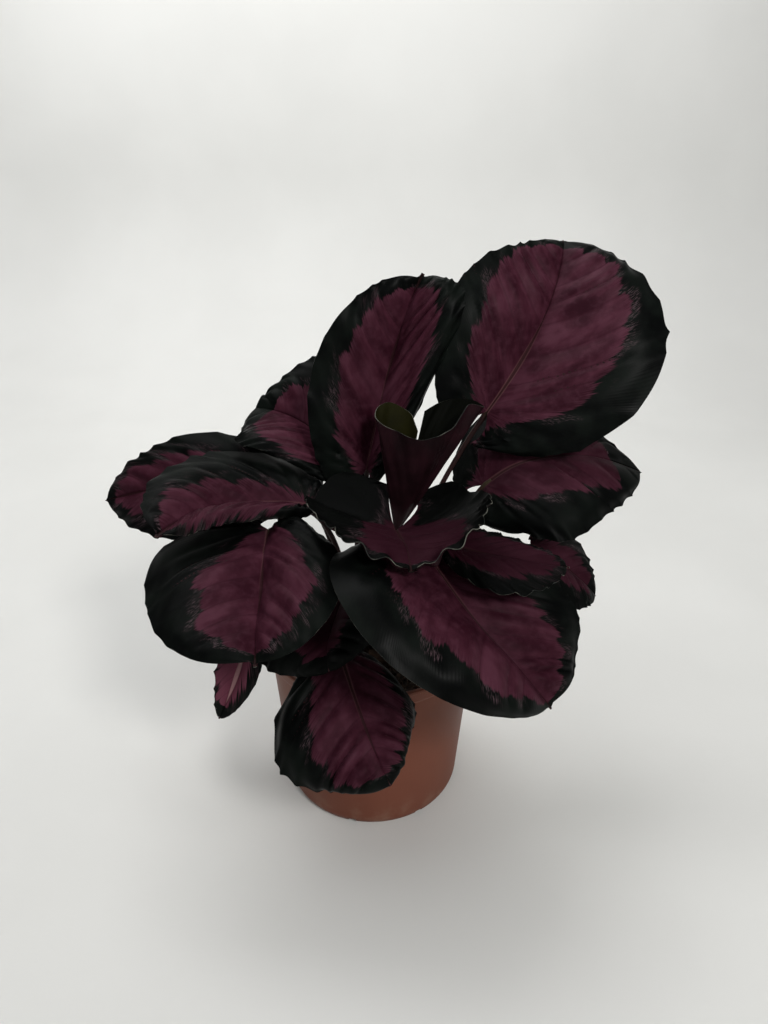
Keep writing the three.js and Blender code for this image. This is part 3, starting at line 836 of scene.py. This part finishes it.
def blade_below(tree):
    shown = use_figure(tree)
    spot = node(tree, "TexCoord").outputs["Object"]
    cloud = grain(tree, spot, 60.0, 4.0)
    colour = blend(tree, ramp(tree, cloud, 0.3, 0.75), UNDER_DEEP, UNDER)
    colour = blend(tree, calc(tree, "MULTIPLY", shown["Vein"], 0.5), colour, VEIN_UNDER)
    colour = blend(tree, shown["Midrib"], colour, VEIN_UNDER)
    return colour, ramp(tree, cloud, 0.3, 0.7, 0.45, 0.6), shown["Relief"], 0.00010


def blade_rim(tree):
    spot = node(tree, "TexCoord").outputs["Object"]
    edge_glint = grain(tree, spot, 120.0, 3.0)
    # The cut edge is painted pale grey in patches: a painted highlight, the pale hairline that light from
    # behind draws along a margin
    colour = blend(tree, ramp(tree, edge_glint, 0.45, 0.65), LEAF_GREEN, RIM_GLINT)
    return colour, ramp(tree, edge_glint, 0.3, 0.7, 0.5, 0.7), edge_glint, 0.00005


above = finish("blade_above", blade_above, Specular_IOR_Level=0.045)
below = finish("blade_below", blade_below, Specular_IOR_Level=0.10)
rim = finish("blade_rim", blade_rim, Specular_IOR_Level=0.2)


def record(mesh, name, kind, array):
    """Keeps a value for each vertex, for the figure."""
    layer = mesh.attributes.new(name, kind, "POINT")
    key = "vector" if kind == "FLOAT_VECTOR" else "value"
    layer.data.foreach_set(key, np.asarray(array, dtype=np.float32).ravel())


for index, (name, blade) in enumerate(BLADES.items()):
    sheet, quads, stand, figure_lines, vein, row = blade_sheet(blade, 100 + index)
    points, faces, kinds = thick_sheet(sheet, quads, stand)
    piece = solid("blade_" + name, points, faces, [above, below, rim], kinds)
    figure_lines = figure_lines + (FIGURE_SHIFT * index, 0, 0)
    record(piece.data, "lines", "FLOAT_VECTOR", np.tile(figure_lines, (2, 1)))
    record(piece.data, "vein", "FLOAT", np.tile(vein, 2))
    record(piece.data, "row", "FLOAT", np.tile(row, 2))
    for state in ("age_and_shade", "pale"):
        record(piece.data, state, "FLOAT", np.full(len(points), blade.get(state, 0)))
    place(piece, "leaf_blade", "leaf_" + name)

# The youngest leaf. It is still rolled in a funnel round its own margin, with its dark
# underside out, and inside it the unopened blade is olive green on its inner roll and
# painted near black as shade elsewhere.
YOUNG_BASE = (0.017, -0.014, 0.214)
YOUNG_RIM = [
    (0.032, -0.009, 0.288), (0.027, 0.001, 0.297), (0.013, 0.005, 0.304), (0.004, -0.001, 0.301),
    (0.007, -0.011, 0.294), (0.020, -0.020, 0.290), (0.033, -0.024, 0.287), (0.046, -0.022, 0.289),
    (0.056, -0.014, 0.295), (0.066, -0.006, 0.305), (0.076, 0.002, 0.302), (0.070, 0.010, 0.304),
    (0.057, 0.014, 0.304), (0.046, 0.013, 0.301), (0.037, 0.011, 0.296),
]
YOUNG_START = 0.01
YOUNG_SWELL = 0.95
YOUNG_ROWS = 70
YOUNG_COLUMNS = 190
YOUNG_LENGTH = 0.08
YOUNG_TURN = 0.20
YOUNG_SLANT = 0.03
YOUNG_INSIDE = 0.05
YOUNG_FINE = (0.00022, 0.012)
YOUNG_WAVE = (0.0008, 0.031)
YOUNG_SHIFT = 20
OLIVE = (0.018, 0.017, 0.0045, 1)
OLIVE_SHADED = (0.0020, 0.0024, 0.0012, 1)


def through(spots, share):
    """A point on the smooth curve through the spots, by share of their number."""
    last = len(spots) - 1
    place_on = min(share * last, last - 1e-9)
    k = int(place_on)
    t = place_on - k
    a, b, c, d = (np.array(spots[min(max(k + step, 0), last)]) for step in (-1, 0, 1, 2))
    return 0.5 * (2 * b + (c - a) * t + (2 * a - 5 * b + 4 * c - d) * t**2 + (3 * b - a - 3 * c + d) * t**3)


def olive_inside(tree):
    shown = use_figure(tree)
    spot = node(tree, "TexCoord").outputs["Object"]
    cloud = grain(tree, spot, 50.0, 3.0)
    lit_roll = node(tree, "Attribute", attribute_name="lit_roll").outputs["Fac"]
    # Olive only on the inner roll; the rest of the inside is painted shade, near black
    inner = calc(tree, "MULTIPLY", lit_roll, ramp(tree, cloud, 0.3, 0.7, 0.55, 1.0))
    colour = blend(tree, inner, OLIVE_SHADED, OLIVE)
    return colour, ramp(tree, cloud, 0.3, 0.7, 0.4, 0.5), shown["Relief"], 0.00008


olive = finish("olive_inside", olive_inside, Specular_IOR_Level=0.05)
young_points, young_lines = [], []
young_base = np.array(YOUNG_BASE)
for i in range(YOUNG_ROWS + 1):
    share = YOUNG_START + (1 - YOUNG_START) * i / YOUNG_ROWS
    for j in range(YOUNG_COLUMNS + 1):
        around = j / YOUNG_COLUMNS
        reach = (share**YOUNG_SWELL, share**YOUNG_SWELL, share)
        young_points.append(young_base + (through(YOUNG_RIM, around) - young_base) * reach)
        slant = around * YOUNG_TURN + share * YOUNG_SLANT
        young_lines.append((slant, share * YOUNG_LENGTH, YOUNG_INSIDE))
wide = YOUNG_COLUMNS + 1
young_quads = [
    (k, k + wide, k + wide + 1, k + 1)
    for i in range(YOUNG_ROWS)
    for k in range(i * wide, i * wide + YOUNG_COLUMNS)
]
young_points, young_lines = np.array(young_points), np.array(young_lines)
young_vein = young_lines[:, 0]
young_share = young_lines[:, 1] / YOUNG_LENGTH
young_around = np.tile(np.arange(YOUNG_COLUMNS + 1) / YOUNG_COLUMNS, YOUNG_ROWS + 1)
young_relief = YOUNG_FINE[0] * np.sin(2 * np.pi * young_vein / YOUNG_FINE[1])
young_relief *= smooth(0.2, 0.7, young_share)
young_wave = YOUNG_WAVE[0] * np.sin(2 * np.pi * young_vein / YOUNG_WAVE[1] + 1)
young_relief += young_wave * smooth(0.75, 1.0, young_share)
young_points = young_points + sheet_normals(young_points, young_quads) * young_relief[:, None]
points, faces, kinds = thick_sheet(young_points, young_quads, np.zeros(len(young_points)))
young = solid("blade_young", points, faces, [olive, below, rim], kinds)
record(young.data, "lines", "FLOAT_VECTOR", np.tile(young_lines + (YOUNG_SHIFT, 0, 0), (2, 1)))
record(young.data, "vein", "FLOAT", np.full(2 * len(young_vein), 0.5))
record(young.data, "lit_roll", "FLOAT", np.tile(1 - smooth(0.26, 0.42, young_around), 2))
record(young.data, "row", "FLOAT", np.ones(2 * len(young_vein)))
place(young, "leaf_blade", "leaf_young")

# The stalks. Each leaf stands on one, dark red-brown and round, sheathed at its foot and
# thickened to a paler knee just under the blade, where it runs on into the midrib.
STALK_RADIUS = 0.0021
STALK_SLOPE = 0.25
STALK_RUN = 0.22
STALK_LEAN = 0.12
STALK_RISE = 0.4
STALK_END_GAP = 0.0010
STALK_END_DEPTH = 0.0011
STALK_RUN_UNDER = 0.06
STALK_RUN_STEPS = 4
STALK_STEPS = 72
STALK_SINK = 0.002
SHEATH_SWELL = 0.0016
KNEE_SWELL = 0.0006
STALK_TAPER = 0.0004
TOP_TAPER = 0.0005
YOUNG_LEAN = (0.2, 0.0, 1.0)
STALK_SIDES = 16
FEET = {
    "upper_right": (0.012, 0.003), "top": (0.005, 0.012), "back_left": (-0.012, 0.012),
    "far_left": (-0.016, 0.008), "upper_left": (-0.013, 0.0), "lower_left": (-0.017, -0.008),
    "low_left": (-0.016, -0.016), "low_middle": (-0.006, -0.012), "front": (-0.005, -0.020),
    "front_right": (0.010, -0.015), "middle": (0.0, -0.008), "right": (0.015, -0.006),
    "far_right": (0.020, 0.0), "middle_right": (0.016, 0.009), "young": (0.007, 0.005),
}
SHORT_RUN = {"middle": 0.06}
STALK_DARK = (0.018, 0.0070, 0.0075, 1)
STALK_RED = (0.034, 0.012, 0.011, 1)
KNEE_GREEN = (0.070, 0.062, 0.026, 1)


def stalk_skin(tree):
    spot = node(tree, "TexCoord").outputs["Object"]
    along = node(tree, "Attribute", attribute_name="along").outputs["Fac"]
    streak = grain(tree, spot, 1.0, 3.0, stretch=(900, 900, 40))
    cloud = grain(tree, spot, 70.0, 3.0)
    colour = blend(tree, ramp(tree, streak, 0.35, 0.7), STALK_DARK, STALK_RED)
    knee = calc(tree, "MULTIPLY", ramp(tree, along, 0.90, 0.98), 0.35)
    colour = blend(tree, knee, colour, KNEE_GREEN)
    sheath = calc(tree, "MULTIPLY", ramp(tree, along, 0.02, 0.3, 1.0, 0.0), 0.35)
    colour = blend(tree, sheath, colour, KNEE_GREEN)
    return colour, ramp(tree, cloud, 0.3, 0.7, 0.42, 0.58), streak, 0.00015


stalk_finish = finish("stalk_skin", stalk_skin, Specular_IOR_Level=0.2)


def stalk_line(foot, end, heading, follow):
    """The middle line of a stalk, from its foot in the rhizome to the blade. follow is the
    share of its length over which it already points as the midrib does."""
    start = np.array([*foot, RHIZOME_TOP - STALK_SINK])
    span = np.linalg.norm(end - start)
    rise = start + STALK_LEAN * (end - start) * (1, 1, 0) + np.array([0, 0, STALK_RISE * span])
    run = end - follow * span * heading
    line = []
    for k in range(STALK_STEPS + 1):
        t = k / STALK_STEPS
        near = (1 - t) ** 3 * start + 3 * (1 - t) ** 2 * t * rise
        line.append(near + 3 * (1 - t) * t**2 * run + t**3 * end)
    return line


def stalk_width(share):
    """The stalk's radius: a sheath at the foot, a slow taper and a knee near the top."""
    sheath = SHEATH_SWELL * (1 - smooth(0.0, 0.34, share))
    knee = KNEE_SWELL * smooth(0.86, 0.93, share) * (1 - smooth(0.965, 1.0, share))
    taper = STALK_TAPER * share + TOP_TAPER * smooth(0.97, 1.0, share)
    return STALK_RADIUS - taper + sheath + knee


def stalk(name, line):
    points, along = [], []
    side = np.array([1.0, 0.0, 0.0])
    for k, spot in enumerate(line):
        ahead = line[min(k + 1, len(line) - 1)] - line[max(k - 1, 0)]
        ahead /= np.linalg.norm(ahead)
        side = side - ahead * (side @ ahead)
        side /= np.linalg.norm(side)
        other = np.cross(ahead, side)
        share = k / (len(line) - 1)
        radius = stalk_width(share)
        for j in range(STALK_SIDES):
            angle = 2 * math.pi * j / STALK_SIDES
            points.append(spot + radius * (math.cos(angle) * side + math.sin(angle) * other))
            along.append(share)
    faces = []
    for k in range(len(line) - 1):
        for j in range(STALK_SIDES):
            turn = (j + 1) % STALK_SIDES
            low = k * STALK_SIDES
            faces.append((low + j, low + turn, low + STALK_SIDES + turn, low + STALK_SIDES + j))
    faces.append(tuple(reversed(range(STALK_SIDES))))
    faces.append(tuple(range(len(points) - STALK_SIDES, len(points))))
    made = solid("petiole_" + name, points, faces, [stalk_finish])
    record(made.data, "along", "FLOAT", along)
    place(made, "leaf_stalk", "stalk_" + name)


for name, blade in BLADES.items():
    base, heading = midrib_at(blade, 0)
    span = np.array(blade["right"]) - np.array(blade["left"])
    _, wide_heading = midrib_at(blade, WIDEST)
    under = -np.cross(span, wide_heading)
    under /= np.linalg.norm(under)
    slope = heading - STALK_SLOPE * under
    slope /= np.linalg.norm(slope)
    end = base + under * (STALK_END_GAP + STALK_RADIUS)
    line = stalk_line(FEET[name], end, slope, SHORT_RUN.get(name, STALK_RUN))
    for k in range(1, STALK_RUN_STEPS + 1):
        share = k / STALK_RUN_STEPS
        depth = (STALK_END_GAP + STALK_RADIUS) * (1 - share) + STALK_END_DEPTH * share
        line.append(midrib_at(blade, STALK_RUN_UNDER * share)[0] + under * depth)
    stalk(name, line)
young_heading = np.array(YOUNG_LEAN)
young_heading /= np.linalg.norm(young_heading)
young_end = young_base + STALK_SINK * young_heading
stalk("young", stalk_line(FEET["young"], young_end, young_heading, STALK_RUN))

# The room. A pale sweep of floor runs up into a wall behind the plant. The main soft light
# is high behind the camera's right, two more hang over the plant and the wall, and a weak
# one in front lightens the floor by the pot.
FLOOR_PALE = (0.74, 0.74, 0.72, 1)
FLOOR_SHADE = (0.70, 0.70, 0.68, 1)
STUDIO_AIR = (0.95, 0.98, 1.0, 1)
STUDIO_GLOW = 0.16
SWEEP_FRONT = -1.6
SWEEP_BACK = 0.9
SWEEP_RADIUS = 0.5
SWEEP_TOP = 2.6
SWEEP_HALF = 2.4
SWEEP_STEPS = 12


def painted_floor(tree):
    spot = node(tree, "TexCoord").outputs["Object"]
    cloud = grain(tree, spot, 3.0, 4.0)
    colour = blend(tree, ramp(tree, cloud, 0.3, 0.7), FLOOR_SHADE, FLOOR_PALE)
    return colour, ramp(tree, cloud, 0.3, 0.7, 0.6, 0.75), grain(tree, spot, 300.0, 2.0), 0.00005


floor_finish = finish("painted_floor", painted_floor, Specular_IOR_Level=0.3)
sweep_line = [(SWEEP_FRONT, 0.0)]
for k in range(SWEEP_STEPS + 1):
    angle = math.pi / 2 * k / SWEEP_STEPS
    bend = (SWEEP_RADIUS * math.sin(angle), SWEEP_RADIUS * (1 - math.cos(angle)))
    sweep_line.append((SWEEP_BACK + bend[0], bend[1]))
sweep_line.append((SWEEP_BACK + SWEEP_RADIUS, SWEEP_TOP))
sweep_points = [(x, y, z) for y, z in sweep_line for x in (-SWEEP_HALF, SWEEP_HALF)]
sweep_faces = [(2 * k, 2 * k + 1, 2 * k + 3, 2 * k + 2) for k in range(len(sweep_line) - 1)]
sweep = solid("floor_sweep", sweep_points, sweep_faces, [floor_finish])

world = bpy.data.worlds.new("studio")
bpy.context.scene.world = world
world.use_nodes = True
background = world.node_tree.nodes["Background"]
background.inputs["Color"].default_value = STUDIO_AIR
background.inputs["Strength"].default_value = STUDIO_GLOW


def softbox(name, place_at, aim, size, power, colour=(1, 1, 1)):
    """A square light of a size in metres and a power in watts, turned toward a point."""
    light = bpy.data.lights.new(name, "AREA")
    light.shape = "SQUARE"
    light.size = size
    light.energy = power
    light.color = colour
    made = bpy.data.objects.new(name, light)
    made.location = place_at
    made.rotation_euler = (Vector(aim) - Vector(place_at)).to_track_quat("-Z", "Y").to_euler()
    bpy.context.scene.collection.objects.link(made)


softbox("key", (1.0, -1.65, 1.75), (0, 0, 0.2), 0.5, 28, (1.0, 0.985, 0.96))
softbox("overhead", (-0.7, -0.1, 2.5), (-0.1, -0.1, 0), 2.2, 17)
softbox("wall_wash", (-0.4, 0.5, 2.0), (-0.3, 1.4, 1.3), 1.2, 24)
softbox("floor_fill", (-0.2, -1.6, 0.9), (0.0, -0.2, 0.0), 1.0, 2.5)

bpy.context.scene.view_settings.view_transform = "Standard"
bpy.context.scene.view_settings.look = "None"
